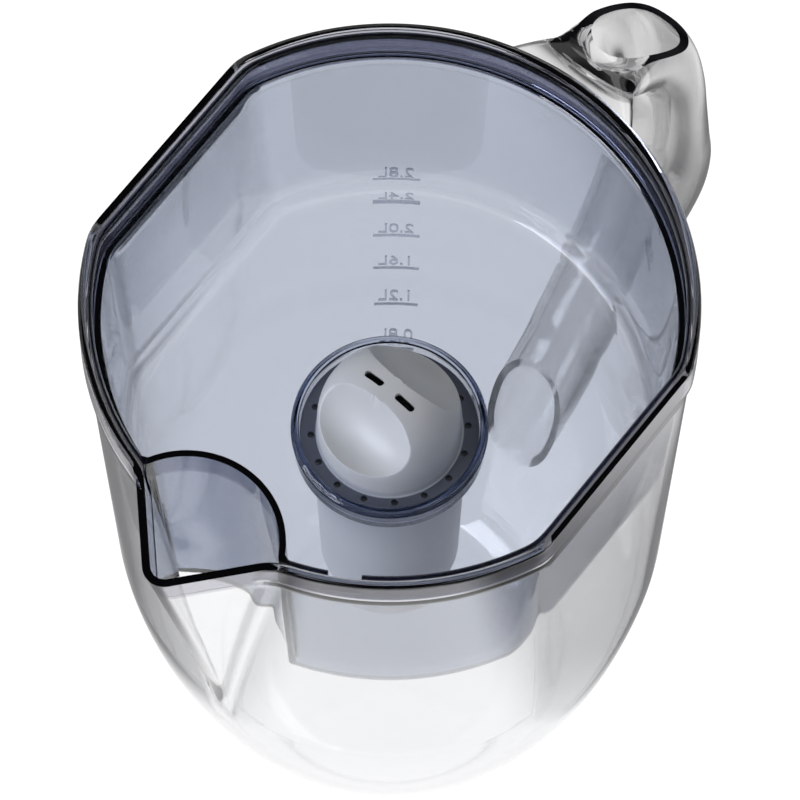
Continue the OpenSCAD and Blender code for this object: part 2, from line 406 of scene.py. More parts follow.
def along(points: Sequence[tuple[float, float, int]]) -> Array:
    """A profile through (r, z, count) corners, with count even steps up to each corner.

    Returns:
        Rows of (r, z).
    """
    runs = [np.array([points[0][:2]])]
    for (r0, z0, _), (r1, z1, count) in zip(points[:-1], points[1:]):
        t = np.arange(1, count + 1)[:, None] / count
        runs.append(np.array([[r0, z0]]) * (1 - t) + np.array([[r1, z1]]) * t)
    return np.concatenate(runs)


def grid_mesh(name: str, points: Array, loop_rows: bool = False, loop_cols: bool = True,
              first_pole: Array | None = None, last_pole: Array | None = None, fill_ends: bool = False) -> Any:
    """A mesh from a grid of points: quads between neighbours, fans to the poles.

    Args:
        name: the object's name.
        points: rows x columns x 3, in millimetres.
        loop_rows: the last row joins the first.
        loop_cols: the last column joins the first.
        first_pole: a point that closes the first row.
        last_pole: a point that closes the last row.
        fill_ends: closes the first and last row with strips across each.

    Returns:
        The object, in metres.
    """
    rows, cols = points.shape[:2]
    index = np.arange(rows * cols).reshape(rows, cols)
    near = np.concatenate([index, index[:1]]) if loop_rows else index
    near = np.concatenate([near, near[:, :1]], axis=1) if loop_cols else near
    quads = np.stack([near[:-1, :-1], near[:-1, 1:], near[1:, 1:], near[1:, :-1]], axis=-1).reshape(-1, 4)
    spots = [points.reshape(-1, 3)]
    faces = quads.tolist()
    edge = near[0], near[-1]
    if first_pole is not None:
        pole = rows * cols
        spots.append(first_pole.reshape(1, 3))
        faces += np.stack([np.full(len(edge[0]) - 1, pole), edge[0][1:], edge[0][:-1]], axis=-1).tolist()
    if last_pole is not None:
        pole = rows * cols + (first_pole is not None)
        spots.append(last_pole.reshape(1, 3))
        faces += np.stack([np.full(len(edge[1]) - 1, pole), edge[1][:-1], edge[1][1:]], axis=-1).tolist()
    if fill_ends:
        half = cols // 2
        low, high = index[0, :half], index[0, ::-1][:half]
        faces += np.stack([low[1:], low[:-1], high[:-1], high[1:]], axis=-1).tolist()
        low, high = index[-1, :half], index[-1, ::-1][:half]
        faces += np.stack([low[:-1], low[1:], high[1:], high[:-1]], axis=-1).tolist()
    mesh = bpy.data.meshes.new(name)
    mesh.from_pydata((np.concatenate(spots) * MM).tolist(), [], faces)
    mesh.validate()
    thing = bpy.data.objects.new(name, mesh)
    bpy.context.scene.collection.objects.link(thing)
    return thing


def prism_mesh(name: str, outlines: Array, low: float, high: float) -> Any:
    """Upright prisms on closed outlines: one for each set of plan points.

    Args:
        name: the object's name.
        outlines: prisms x points x 2, in millimetres, anticlockwise.
        low: height of the bottom.
        high: height of the top.

    Returns:
        The object.
    """
    count, sides = outlines.shape[:2]
    plan = np.repeat(outlines.reshape(-1, 1, 2), 2, axis=1)
    heights = np.broadcast_to(np.array([low, high])[None, :, None], (count * sides, 2, 1))
    points = np.concatenate([plan, heights], axis=2).reshape(-1, 3)
    base = np.arange(count * sides).reshape(count, sides)
    ahead = np.roll(base, -1, axis=1)
    walls = np.stack([base * 2, ahead * 2, ahead * 2 + 1, base * 2 + 1], axis=-1).reshape(-1, 4)
    mesh = bpy.data.meshes.new(name)
    mesh.from_pydata((points * MM).tolist(), [],
                     walls.tolist() + (base[:, ::-1] * 2).tolist() + (base * 2 + 1).tolist())
    thing = bpy.data.objects.new(name, mesh)
    bpy.context.scene.collection.objects.link(thing)
    return thing


def smooth(thing: Any, angle: float = 32.0) -> None:
    """Smooth shading, with edges over that many degrees kept sharp."""
    mesh = thing.data
    mesh.polygons.foreach_set("use_smooth", np.ones(len(mesh.polygons), dtype=bool))
    mesh.set_sharp_from_angle(angle=math.radians(angle))
    mesh.update()


def weld(mesh: Any, distance: float = 0.000002) -> None:
    """Merges a mesh's doubled points."""
    work = bmesh.new()
    work.from_mesh(mesh)
    bmesh.ops.remove_doubles(work, verts=work.verts, dist=distance)
    work.to_mesh(mesh)
    work.free()


def cut(thing: Any, cutter: Any) -> None:
    """Takes the cutter's volume out of a piece and removes the cutter."""
    step = thing.modifiers.new("cut", "BOOLEAN")
    step.operation = "DIFFERENCE"
    step.solver = "EXACT"
    step.object = cutter
    bpy.context.view_layer.update()
    view = thing.evaluated_get(bpy.context.evaluated_depsgraph_get())
    mesh = bpy.data.meshes.new_from_object(view)
    thing.modifiers.clear()
    thing.data = mesh
    bpy.data.objects.remove(cutter, do_unlink=True)


def dress(thing: Any, finish: Any) -> None:
    """Gives a new piece its material."""
    thing.data.materials.clear()
    thing.data.materials.append(finish)


# ---------------------------------------------------------------- jug

@dataclass
class JugShell:
    """The clear jug: foot, bowl, drafted wall with two flat sides, rim band, ledge and spout."""
    rim_h: float = 252.0
    rim_r: float = 84.0
    flat_y: float = 77.4
    wall: float = 2.6
    band_h: float = 13.0
    lip_wall: float = 2.2
    ledge_h: float = 240.0
    foot_r: float = 33.3
    foot_fillet: float = 20.0
    foot_arc: float = 66.0
    bowl_foot_r: float = 25.2
    bowl_power: float = 1.57
    bowl_depth: float = 135.0
    waist_in: float = 4.9
    band_in: float = 1.1
    flat_in: float = 0.7
    flat_draft: float = 0.013
    spout_reach: float = 103.8
    nose_r: float = 6.0
    spout_half_w: float = 20.5
    spout_lean: float = 10.4
    spout_wall: float = 2.4
    spout_foot: float = 97.0
    columns: int = 436

    @property
    def waist(self) -> tuple[float, float]:
        """Radius and height where the bowl meets the straight wall."""
        return self.rim_r - self.waist_in, self.rim_h - self.bowl_depth

    def wall_r(self, z: Array) -> Array:
        """Outer radius below the band: a power curve in the bowl, a straight draft above it."""
        waist_r, waist_h = self.waist
        t = np.clip((waist_h - z) / self.bowl_depth, 0.0, 1.0)
        swell = (1 - t ** self.bowl_power) ** (1 / self.bowl_power)
        bowl = self.bowl_foot_r + (waist_r - self.bowl_foot_r) * swell
        top = self.rim_h - self.band_h
        draft = waist_r + (self.rim_r - self.band_in - waist_r) * (z - waist_h) / (top - waist_h)
        return np.where(z < waist_h, bowl, draft)

    def flat(self, z: Array) -> Array:
        """Half width across the flat sides."""
        below = self.flat_y - self.flat_in - self.flat_draft * (self.rim_h - z)
        return np.where(z > self.rim_h - self.band_h - 0.5, self.flat_y, below)

    def angles(self) -> Array:
        """Directions of the columns, closer together over the spout and the flat sides' corners."""
        marks = np.radians([-66.0, 66.0, 114.0, 163.0, 197.0, 246.0, 294.0])
        shares = np.array([0.27, 0.14, 0.11, 0.23, 0.11, 0.14])
        counts = np.round(shares * self.columns).astype(int)
        return np.concatenate([np.linspace(a, b, n, endpoint=False)
                               for a, b, n in zip(marks[:-1], marks[1:], counts)])

    def spout_r(self, angle: Array, z: Array, inset: float) -> Array:
        """Distance from the middle to the spout's wall: a V with a round nose, which leans in as it goes down.

        The side's distance along a direction u is n.p / n.u for the side's normal n, and the nose's is the
        far crossing of the direction with the nose's circle.
        """
        shift = (self.rim_h - z) * math.tan(math.radians(self.spout_lean))
        nose_x = self.spout_reach - self.nose_r
        reach = math.hypot(self.rim_r - nose_x, self.spout_half_w)
        turn = math.atan2(self.spout_half_w, nose_x - self.rim_r) + math.acos(self.nose_r / reach)
        nx, ny = math.cos(turn), math.sin(turn)
        nose = self.nose_r - inset
        ux, uy = np.cos(angle), np.abs(np.sin(angle))
        centre = shift - nose_x
        facing = ux * nx + uy * ny
        side = np.where(facing > 0.02, (nx * centre + nose) / np.maximum(facing, 0.02), 0.0)
        across = centre * uy
        circle = centre * ux + np.sqrt(np.maximum(nose ** 2 - across ** 2, 0.0))
        on_nose = side * uy < nose * ny
        reach_r = np.where(on_nose, circle, side)
        fade = ramp(z, self.spout_foot + inset, self.spout_foot + inset + 8.0)
        return np.where(ux < -0.8, reach_r * fade, 0.0)

    def radius(self, angle: Array, z: Array, r: Array, inset: float) -> Array:
        """Distance from the middle to the wall: the round form, cut by the flat sides, joined to the spout."""
        side = (self.flat(z) - inset) / np.maximum(np.abs(np.sin(angle)), 1e-3)
        body = soft_min(r, side, 1.1)
        corner = 3.0 if inset == 0 else 2.2
        joined = soft_max(body, self.spout_r(angle, z, min(inset, self.spout_wall)), corner)
        return np.where(z > self.spout_foot, joined, body)

    def profile(self) -> tuple[Array, Array]:
        """Rows of (r, z) from the foot's middle up the outside and down the inside, and each row's inset."""
        top, band = self.rim_h, self.rim_h - self.band_h
        rim, lip = self.rim_r, self.rim_r - self.lip_wall
        turn = np.radians(np.linspace(0.0, self.foot_arc, 10))
        fillet = self.foot_fillet
        start = fillet * (1 - math.cos(math.radians(self.foot_arc)))
        heights = start + (band - 0.6 - start) * np.linspace(0.0, 1.0, 62)[1:] ** 1.12

        def skin(inset: float) -> Array:
            """The foot, bowl and wall, drawn in by inset."""
            arc = fillet - inset
            foot = np.stack([self.foot_r + arc * np.sin(turn), fillet - arc * np.cos(turn)], 1)
            wall = np.stack([self.wall_r(heights) - inset, heights], 1)
            disc = np.stack([self.foot_r * np.linspace(0.1, 0.95, 7), np.full(7, inset)], 1)
            return np.concatenate([disc, foot, wall])

        outer = skin(0.0)
        band_rows = along([(rim - 0.7, band - 0.35, 1), (rim - 0.15, band + 0.1, 2), (rim, band + 0.7, 2),
                           (rim, top - 0.8, 8), (rim - 0.25, top - 0.2, 2), (rim - 0.8, top, 2),
                           (lip + 0.5, top, 2), (lip + 0.1, top - 0.15, 1), (lip, top - 0.6, 2)])
        inner_top = along([(lip, top - 1.2, 1), (lip, self.ledge_h + 0.3, 5), (lip - 0.2, self.ledge_h, 1),
                           (rim - self.wall - 0.9, self.ledge_h, 2),
                           (rim - self.wall - 1.1, self.ledge_h - 0.3, 1)])
        inner = skin(self.wall)[::-1]
        rows = np.concatenate([outer, band_rows, inner_top, inner[1:]])
        insets = np.concatenate([np.zeros(len(outer) + len(band_rows) - 5), np.full(5, self.lip_wall),
                                 np.full(len(inner_top) - 3, self.lip_wall), np.full(3, self.wall),
                                 np.full(len(inner) - 1, self.wall)])
        return rows, insets

    def build(self) -> Any:
        """The jug's mesh: the profile's rows carried round the columns.

        Returns:
            The piece.
        """
        rows, insets = self.profile()
        angle = self.angles()[None, :]
        z = np.repeat(rows[:, 1:2], angle.shape[1], axis=1)
        r = np.empty_like(z)
        for inset in np.unique(insets):
            at = insets == inset
            r[at] = self.radius(angle, z[at], rows[at, 0:1] + np.zeros_like(z[at]), float(inset))
        points = np.stack([r * np.cos(angle), r * np.sin(angle), z], axis=-1)
        made = grid_mesh("jug_shell", points, first_pole=np.array([0.0, 0.0, 0.0]),
                         last_pole=np.array([0.0, 0.0, self.wall]))
        smooth(made, 38.0)
        return made


# ---------------------------------------------------------------- grip

@dataclass
class Grip:
    """The handle: a hollow tube of squarish oval section, with a long open mouth on its top bend.

    A station is the finger side's x and depth under the rim, the outer side's x and depth, and the half
    width. The tube ends a seam's width outside the jug, because one clear piece inside another shows as a dark
    patch.
    """
    jug: JugShell
    wall: float = 2.2
    oval_power: float = 0.84
    stations: tuple[tuple[float, ...], ...] = (
        (78, 5, 78, 0.6, 23), (83, 5, 83, 0.6, 20), (89.5, 7, 89.5, 0.8, 15.5), (92, 14.5, 95, 1.2, 13.6),
        (96, 23, 104, 2.2, 13), (102, 31, 113.5, 7, 13), (108.5, 40, 121.5, 15.5, 13), (114, 51, 127.5, 28, 13),
        (118, 63, 132.5, 43, 13), (120.5, 77, 136.5, 62, 13), (121.5, 91, 139.5, 84, 13), (121, 104, 143, 107, 13),
        (118, 115, 146.5, 129, 13), (111.5, 126, 145, 147, 12.8), (103.5, 137, 134, 159, 12.5),
        (94.5, 148.5, 119, 172, 12.4), (85, 160, 103, 188, 12.3), (74.5, 172, 84, 205, 12.3),
        (38, 196, 36, 232, 12.3))
    mouth: tuple[tuple[float, float], ...] = (
        (90.5, -0.8), (95, -3), (100, -4.5), (106, -9), (117, -21.5), (123, -28), (134, -32.5), (170, -33))
    bore: tuple[float, float] = (2.5, 17.5)
    seam: float = 0.03
    mouth_half: float = 25.0
    trim_from: float = 12.0
    trim_above: float = 20.0
    steps: int = 10
    columns: int = 56

    def path(self) -> Array:
        """Catmull-Rom through the stations: each span is a cubic set by its four nearest stations."""
        s = np.array(self.stations, dtype=float)
        padded = np.concatenate([s[:1], s, s[-1:]])
        t = (np.arange(self.steps) / self.steps)[None, :, None]
        a, b, c, d = (padded[i:len(padded) - 3 + i][:, None, :] for i in range(4))
        square, cube = 2 * a - 5 * b + 4 * c - d, 3 * b - a - 3 * c + d
        curve = 0.5 * (2 * b + (c - a) * t + square * t ** 2 + cube * t ** 3)
        return np.concatenate([curve.reshape(-1, s.shape[1]), s[-1:]])

    def tube(self, name: str, path: Array, inset: float, narrow: Array) -> Any:
        """A closed tube along part of the path.

        Each ring is an oval between the path's finger side and outer side, whose cosine and sine are both
        raised to a power below one, so that it looks squarer than an ellipse.

        Args:
            name: the object's name.
            path: rows of finger x and depth, outer x and depth, and half width.
            inset: how far the ring is drawn in.
            narrow: a factor on each ring's half width.

        Returns:
            The object.
        """
        turn = (np.arange(self.columns) + 0.5) * 2 * math.pi / self.columns
        ahead, across = (np.sign(v) * np.abs(v) ** self.oval_power for v in (np.cos(turn), np.sin(turn)))
        inner, outer = path[:, 0:2], path[:, 2:4]
        span = np.linalg.norm(outer - inner, axis=1, keepdims=True)
        share = (span / 2 - inset) / span * ahead[None, :]
        spot = (inner + outer)[:, None, :] / 2 + (outer - inner)[:, None, :] * share[:, :, None]
        y = (path[:, 4:5] - inset) * narrow[:, None] * across[None, :]
        points = np.stack([spot[..., 0], y, self.jug.rim_h - spot[..., 1]], axis=-1)
        return grid_mesh(name, points[:, ::-1], fill_ends=True)

    def build(self) -> Any:
        """The tube, less its bore, its mouth and what would lie inside the jug's wall.

        Returns:
            The piece.
        """
        path = self.path()
        made = self.tube("grip", path, 0.0, np.ones(len(path)))
        first, last = (round(end * self.steps) for end in self.bore)
        # The bore widens from a slit to its full width over its first two stations.
        opening = np.minimum(1.0, (np.arange(last + 1 - first) / self.steps * 2 + 0.4) / 4)
        cut(made, self.tube("grip_bore", path[first:last + 1], self.wall, np.sin(opening * math.pi / 2)))
        cut(made, self.mouth_cutter())
        cut(made, self.trimmer())
        smooth(made, 50.0)
        return made

    def mouth_cutter(self) -> Any:
        """The mouth's side view, carried across the handle: a prism laid on its side."""
        edge = np.array(self.mouth, dtype=float)
        start, end = edge[0, 0], edge[-1, 0]
        x = np.linspace(start, end, 120)
        z = np.interp(x, edge[:, 0], edge[:, 1])
        for _ in range(40):
            z[1:-1] = (z[:-2] + z[2:] + 2 * z[1:-1]) / 4
        side = np.concatenate([np.stack([x, z], 1), [[end, 6.0], [start, 6.0]]])
        side[:, 1] += self.jug.rim_h
        prism = prism_mesh("grip_mouth", side[None], -self.mouth_half, self.mouth_half)
        spots = np.empty(len(prism.data.vertices) * 3)
        prism.data.vertices.foreach_get("co", spots)
        x, z, y = spots.reshape(-1, 3).T
        prism.data.vertices.foreach_set("co", np.stack([x, -y, z], 1).ravel())
        return prism

    def trimmer(self) -> Any:
        """The jug's round form, a seam's width outside its outer surface, as a cutter."""
        band, top = self.jug.rim_h - self.jug.band_h, self.jug.rim_h + self.trim_above
        low = np.linspace(self.trim_from, band - 0.1, 40)
        edge = self.jug.rim_r + self.seam
        profile = np.concatenate([np.stack([self.jug.wall_r(low) + self.seam, low], 1),
                                  [[edge, band], [edge, top]]])
        angle = np.linspace(0, 2 * math.pi, 180, endpoint=False)[None, :]
        r, z = profile[:, 0:1], profile[:, 1:2]
        points = np.stack([r * np.cos(angle), r * np.sin(angle), z + 0.0 * angle], axis=-1)
        return grid_mesh("grip_trimmer", points, first_pole=np.array([0.0, 0.0, self.trim_from]),
                         last_pole=np.array([0.0, 0.0, top]))


# ---------------------------------------------------------------- litre numbers

@dataclass
class LitreNumbers:
    """Raised numbers on the outside of the wall, beside the litre marks."""
    jug: JugShell
    depths: tuple[float, ...] = (86, 103, 123.5, 144, 164, 184)
    labels: tuple[str, ...] = ("2.8L", "2.4L", "2.0L", "1.6L", "1.2L", "0.8L")
    turn: float = 36.0
    height: float = 5.4
    capital_share: float = 0.7
    rise: float = 1.8
    narrowing: float = 0.82
    relief: float = 0.18
    lift: float = 0.15

    def build(self) -> Any:
        """Flat letters wrapped on the wall: across becomes an angle, up stays a height, depth a radius.

        Returns:
            The piece.
        """
        spots: list[Array] = []
        faces: list[list[int]] = []
        for depth, label in zip(self.depths, self.labels):
            text = bpy.data.curves.new("letters", "FONT")
            text.body = label
            text.align_x = "CENTER"
            text.size = self.height / self.capital_share
            text.extrude = self.relief
            text.resolution_u = 4
            thing = bpy.data.objects.new("letters", text)
            bpy.context.scene.collection.objects.link(thing)
            bpy.context.view_layer.update()
            mesh = thing.evaluated_get(bpy.context.evaluated_depsgraph_get()).to_mesh()
            flat = np.empty(len(mesh.vertices) * 3)
            mesh.vertices.foreach_get("co", flat)
            flat = flat.reshape(-1, 3)
            z = self.jug.rim_h - depth + self.rise + flat[:, 1]
            r = self.jug.wall_r(z) + self.lift + flat[:, 2]
            angle = math.radians(self.turn) + flat[:, 0] * self.narrowing / r
            start = sum(len(s) for s in spots)
            spots.append(np.stack([r * np.cos(angle), r * np.sin(angle), z], 1))
            faces += [[start + i for i in p.vertices] for p in mesh.polygons]
            bpy.data.objects.remove(thing, do_unlink=True)
        mesh = bpy.data.meshes.new("litre_numbers")
        mesh.from_pydata((np.concatenate(spots) * MM).tolist(), [], faces)
        weld(mesh)
        made = bpy.data.objects.new("litre_numbers", mesh)
        bpy.context.scene.collection.objects.link(made)
        return made


# ---------------------------------------------------------------- hopper

@dataclass
class HopperTank:
    """The tinted hopper: hanging rim, tank with two flat sides, spout recess and cartridge socket."""
    jug: JugShell
    top: float = 251.4
    collar_r: float = 81.5
    collar_flat: float = 74.9
    collar_t: float = 1.4
    collar_foot: float = 240.2
    step_h: float = 241.8
    wall: float = 1.8
    tank_r: float = 79.95
    tank_flat: float = 73.55
    foot_r: float = 76.2
    foot_flat: float = 68.6
    floor_top: float = 168.0
    floor_t: float = 2.0
    fillet: float = 6.0
    recess_x: float = 88.9
    recess_r: float = 24.6
    recess_draft: float = 2.4
    recess_from: float = 148.0
    recess_span: float = 114.0
    socket_r: float = 27.3
    socket_wall: float = 1.7
    socket_top: float = 169.5
    socket_foot: float = 158.0
    seat_r: float = 22.6
    seat_t: float = 1.6
    latch_turn: float = 209.0
    latch_r: tuple[float, float] = (79.0, 90.0)
    latch_half: float = 4.5
    latch_z: tuple[float, float] = (-8.0, 2.0)

    def recess(self, angle: Array, z: Array, extra: float) -> Array:
        """Distance from the middle to the near side of the recess's cylinder, or far out beside it."""
        share = (z - self.recess_from) / self.recess_span
        r = self.recess_r + self.recess_draft * (1 - share) + extra
        ux, uy = -np.cos(angle), np.abs(np.sin(angle))
        inside = r ** 2 - (self.recess_x * uy) ** 2
        near = self.recess_x * ux - np.sqrt(np.maximum(inside, 0.0))
        return np.where((ux > 0) & (inside > 0), near, FAR_OUT)

    def ring(self, angle: Array, z: Array, r: Array, flat: Array, extra: float, corner: float = 1.6) -> Array:
        """Distance from the middle to a wall: the round form, cut by the flat sides and by the recess."""
        side = flat / np.maximum(np.abs(np.sin(angle)), 1e-3)
        return soft_min(soft_min(r + 0.0 * side, side, corner), self.recess(angle, z, extra), 2.0)

    def build(self) -> Any:
        """One closed loop of rows carried round: socket, underside, outside, collar, inside, floor.

        Returns:
            The piece.
        """
        angle = self.jug.angles()[None, :]
        rows: list[tuple[Array, Array]] = []

        def plain(r: float, z: float) -> None:
            """A round row."""
            rows.append((np.full_like(angle, r), np.full_like(angle, z)))

        def walled(r: float, flat: float, z: Array | float, extra: float) -> None:
            """A row with flat sides and the recess."""
            height = np.zeros_like(angle) + z
            rows.append((self.ring(angle, height, r, flat, extra), height))

        lip = self.socket_r - self.socket_wall
        seat = self.socket_foot + self.seat_t
        under = self.floor_top - self.floor_t
        for r, z in ((lip + 0.5, self.socket_top), (lip, self.socket_top - 0.5), (lip, 165.0),
                     (lip, seat + 0.3), (lip - 0.3, seat), (self.seat_r, seat), (self.seat_r, self.socket_foot),
                     (self.socket_r - 0.4, self.socket_foot), (self.socket_r, self.socket_foot + 0.4),
                     (self.socket_r, under - 0.6), (self.socket_r + 0.6, under)):
            plain(r, z)
        for share in np.linspace(0.12, 1.0, 10):
            wide = self.foot_r - self.fillet
            walled(self.socket_r + (wide - self.socket_r) * share,
                   self.socket_r + (self.foot_flat - self.fillet - self.socket_r) * share, under, 0.0)
        for turn in np.radians(np.linspace(15, 90, 6)):
            walled(self.foot_r - self.fillet * (1 - math.sin(turn)),
                   self.foot_flat - self.fillet * (1 - math.sin(turn)),
                   under + self.fillet * (1 - math.cos(turn)), 0.0)
        span = self.step_h - under
        for z in np.linspace(under + self.fillet + 3.0, self.collar_foot - 0.5, 26):
            share = (z - under) / span
            walled(self.foot_r + (self.tank_r - self.foot_r) * share,
                   self.foot_flat + (self.tank_flat - self.foot_flat) * share, z, 0.0)
        outer = self.collar_r
        rim = ((self.tank_r + 0.2, -11.25), (outer - 0.3, -11.2), (outer, -10.9), (outer, -7.0), (outer, -3.5),
               (outer, -0.5), (outer - 0.12, -0.15), (outer - 0.45, 0.0))
        for r, rise in rim:
            walled(r, r + self.collar_flat - self.collar_r, self.top + rise, 0.0)
        inside_r = self.collar_r - self.collar_t
        rim = ((inside_r + 0.45, 0.0), (inside_r + 0.12, -0.15), (inside_r, -0.5), (inside_r, -3.5),
               (inside_r, -7.0), (inside_r, -9.2), (inside_r - 0.1, -9.5),
               (self.tank_r - self.wall + 0.3, -9.56))
        for r, rise in rim:
            walled(r, r + self.collar_flat - self.collar_r, self.top + rise, self.wall)
        inner_r, inner_flat = self.tank_r - self.wall, self.tank_flat - self.wall
        fillet = self.fillet - self.wall
        foot_in, foot_in_flat = self.foot_r - self.wall, self.foot_flat - self.wall
        for z in np.linspace(self.step_h - 0.3, self.floor_top + fillet, 28):
            share = (z - under) / span
            walled(foot_in + (inner_r - foot_in) * share, foot_in_flat + (inner_flat - foot_in_flat) * share,
                   z, self.wall)
        for turn in np.radians(np.linspace(75, 0, 6)):
            walled(foot_in - fillet * (1 - math.sin(turn)), foot_in_flat - fillet * (1 - math.sin(turn)),
                   self.floor_top + fillet * (1 - math.cos(turn)), self.wall)
        for share in np.linspace(0.9, 0.1, 9):
            wide = foot_in - fillet
            walled(self.socket_r + (wide - self.socket_r) * share,
                   self.socket_r + (foot_in_flat - fillet - self.socket_r) * share, self.floor_top, self.wall)
        plain(self.socket_r + 0.5, self.floor_top)
        plain(self.socket_r, self.floor_top + 0.4)
        plain(self.socket_r, self.socket_top - 0.4)
        plain(self.socket_r - 0.4, self.socket_top)
        r = np.concatenate([row[0] for row in rows])
        z = np.concatenate([row[1] for row in rows])
        points = np.stack([r * np.cos(angle), r * np.sin(angle), z], axis=-1)
        made = grid_mesh("hopper_tank", points, loop_rows=True)
        cut(made, self.latch())
        smooth(made, 38.0)
        return made

    def latch(self) -> Any:
        """The cutter for the slot in the collar: a box at the latch's angle."""
        turn = math.radians(self.latch_turn)
        out, side = np.array([math.cos(turn), math.sin(turn)]), np.array([-math.sin(turn), math.cos(turn)])
        (near, far), half = self.latch_r, self.latch_half
        corners = [out * a + side * b for a, b in ((near, -half), (far, -half), (far, half), (near, half))]
        low, high = self.latch_z
        return prism_mesh("latch_cutter", np.array([corners]), self.top + low, self.top + high)


# ---------------------------------------------------------------- cartridge

@dataclass
class CartridgeCap:
    """The cap that shows: a flange with inlet holes and a dome with two finger scoops and two slots."""
    flange_r: float = 25.3
    flange_t: float = 1.5
    gutter_h: float = 164.9
    dome_h: float = 28.0
    dome_r: float = 20.4
    drum_h: float = 7.0
    crown_power: float = 0.82
    skin_t: float = 1.5
    scoop_x: float = 16.3
    scoop_half: tuple[float, float, float] = (12.0, 23.0, 17.0)
    scoop_rise: float = -0.5
    inlet_ring_r: float = 22.2
    inlet_r: float = 1.0
    inlets: int = 16
    slot_y: float = 5.6
    slot_l: float = 6.6
    slot_w: float = 2.4
    turn: float = -4.0
    lip_soft: float = 0.9
    columns: int = 288

    def scoop(self, x: Array, y: Array, extra: float) -> Array:
        """Height of the scoops' lower side, each a dish that is part of an ellipsoid.

        Args:
            x: places across the ridge.
            y: places along the ridge.
            extra: how much larger each half axis is.

        Returns:
            The dish's height, or its rim's height outside it.
        """
        across, along, deep = (half + extra for half in self.scoop_half)
        left = 1.0 - ((np.abs(x) - self.scoop_x) / across) ** 2 - (y / along) ** 2
        base = self.gutter_h + self.dome_h + self.scoop_rise
        return np.where(left > 0, base - deep * np.sqrt(np.maximum(left, 0.0)), base + 20.0)

    def skin(self, angle: Array, inset: float) -> Array:
        """The dome's rows, from the flange up the drum and over the crown, drawn in by inset.

        The crown is a quarter of a superellipse, sampled at even steps along its length.
        """
        drum = self.dome_r - inset
        base = self.gutter_h + self.drum_h
        rise = self.dome_h - self.drum_h - inset
        fine = np.radians(np.linspace(0.0, 90.0, 400))
        curve = np.stack([drum * np.cos(fine) ** self.crown_power,
                          base + rise * np.sin(fine) ** self.crown_power], 1)
        length = np.concatenate([[0.0], np.cumsum(np.linalg.norm(np.diff(curve, axis=0), axis=1))])
        even = np.linspace(0.0, length[-1], 56)[:-1]
        crown = np.stack([np.interp(even, length, curve[:, k]) for k in (0, 1)], 1)
        foot = self.gutter_h + 0.5 if inset == 0 else self.gutter_h - self.flange_t
        wall = np.stack([np.full(7, drum), np.linspace(foot, base, 8)[:-1]], 1)
        rows = np.concatenate([wall, crown])
        r = np.repeat(rows[:, 0:1], angle.shape[1], 1)
        x, y = r * np.cos(angle), r * np.sin(angle)
        z = soft_min(np.repeat(rows[:, 1:2], angle.shape[1], 1), self.scoop(x, y, inset), self.lip_soft)
        return np.stack([x, y, z], axis=-1)

    def build(self) -> Any:
        """The dome's outside, its inside and the flange between them, then the holes are cut.

        Returns:
            The piece.
        """
        angle = np.linspace(0, 2 * math.pi, self.columns, endpoint=False)[None, :]

        def rings(pairs: Sequence[tuple[float, float]]) -> Array:
            """Plain round rows."""
            return np.concatenate([np.stack([r * np.cos(angle), r * np.sin(angle), np.full_like(angle, z)], -1)
                                   for r, z in pairs])

        low = self.gutter_h - self.flange_t
        flange = rings(((self.dome_r - self.skin_t + 0.3, low), (self.flange_r - 0.3, low),
                        (self.flange_r, low + 0.3),
                        (self.flange_r, self.gutter_h - 0.3), (self.flange_r - 0.3, self.gutter_h),
                        (23.6, self.gutter_h), (21.6, self.gutter_h), (self.dome_r + 0.5, self.gutter_h),
                        (self.dome_r + 0.15, self.gutter_h + 0.15)))
        inside = self.skin(angle, self.skin_t)[::-1]
        points = np.concatenate([inside, flange, self.skin(angle, 0.0)])
        peak = self.gutter_h + self.dome_h
        made = grid_mesh("cartridge_cap_shell", points, first_pole=np.array([0.0, 0.0, peak - self.skin_t]),
                         last_pole=np.array([0.0, 0.0, peak]))
        cut(made, self.cutters())
        turn = math.radians(self.turn)
        spots = np.empty(len(made.data.vertices) * 3)
        made.data.vertices.foreach_get("co", spots)
        spots = spots.reshape(-1, 3)
        x, y = spots[:, 0].copy(), spots[:, 1].copy()
        spots[:, 0] = x * math.cos(turn) - y * math.sin(turn)
        spots[:, 1] = x * math.sin(turn) + y * math.cos(turn)
        made.data.vertices.foreach_set("co", spots.ravel())
        smooth(made, 40.0)
        return made

    def cutters(self) -> Any:
        """Round prisms for the inlets, and two long ones with round ends for the slots, in one mesh."""
        side = np.radians(np.arange(20) * 18.0)
        centre = np.radians(np.arange(self.inlets) * 360.0 / self.inlets)[:, None]
        holes = np.stack([self.inlet_ring_r * np.cos(centre) + self.inlet_r * np.cos(side)[None, :],
                          self.inlet_ring_r * np.sin(centre) + self.inlet_r * np.sin(side)[None, :]], -1)
        half = self.slot_w / 2
        reach = (self.slot_l / 2 - half) * np.where(np.sin(side) >= 0, 1.0, -1.0)
        slots = np.stack([np.stack([half * np.cos(side), s * self.slot_y + half * np.sin(side) + reach], -1)
                          for s in (-1, 1)])
        low = prism_mesh("inlet_cutter", holes, self.gutter_h - 4.0, self.gutter_h + 2.0)
        peak = self.gutter_h + self.dome_h
        high = prism_mesh("slot_cutter", slots, peak - 9.0, peak + 4.0)
        with bpy.context.temp_override(active_object=low, selected_editable_objects=[low, high],
                                       selected_objects=[low, high], object=low):
            bpy.ops.object.join()
        return low


# ---------------------------------------------------------------- studio

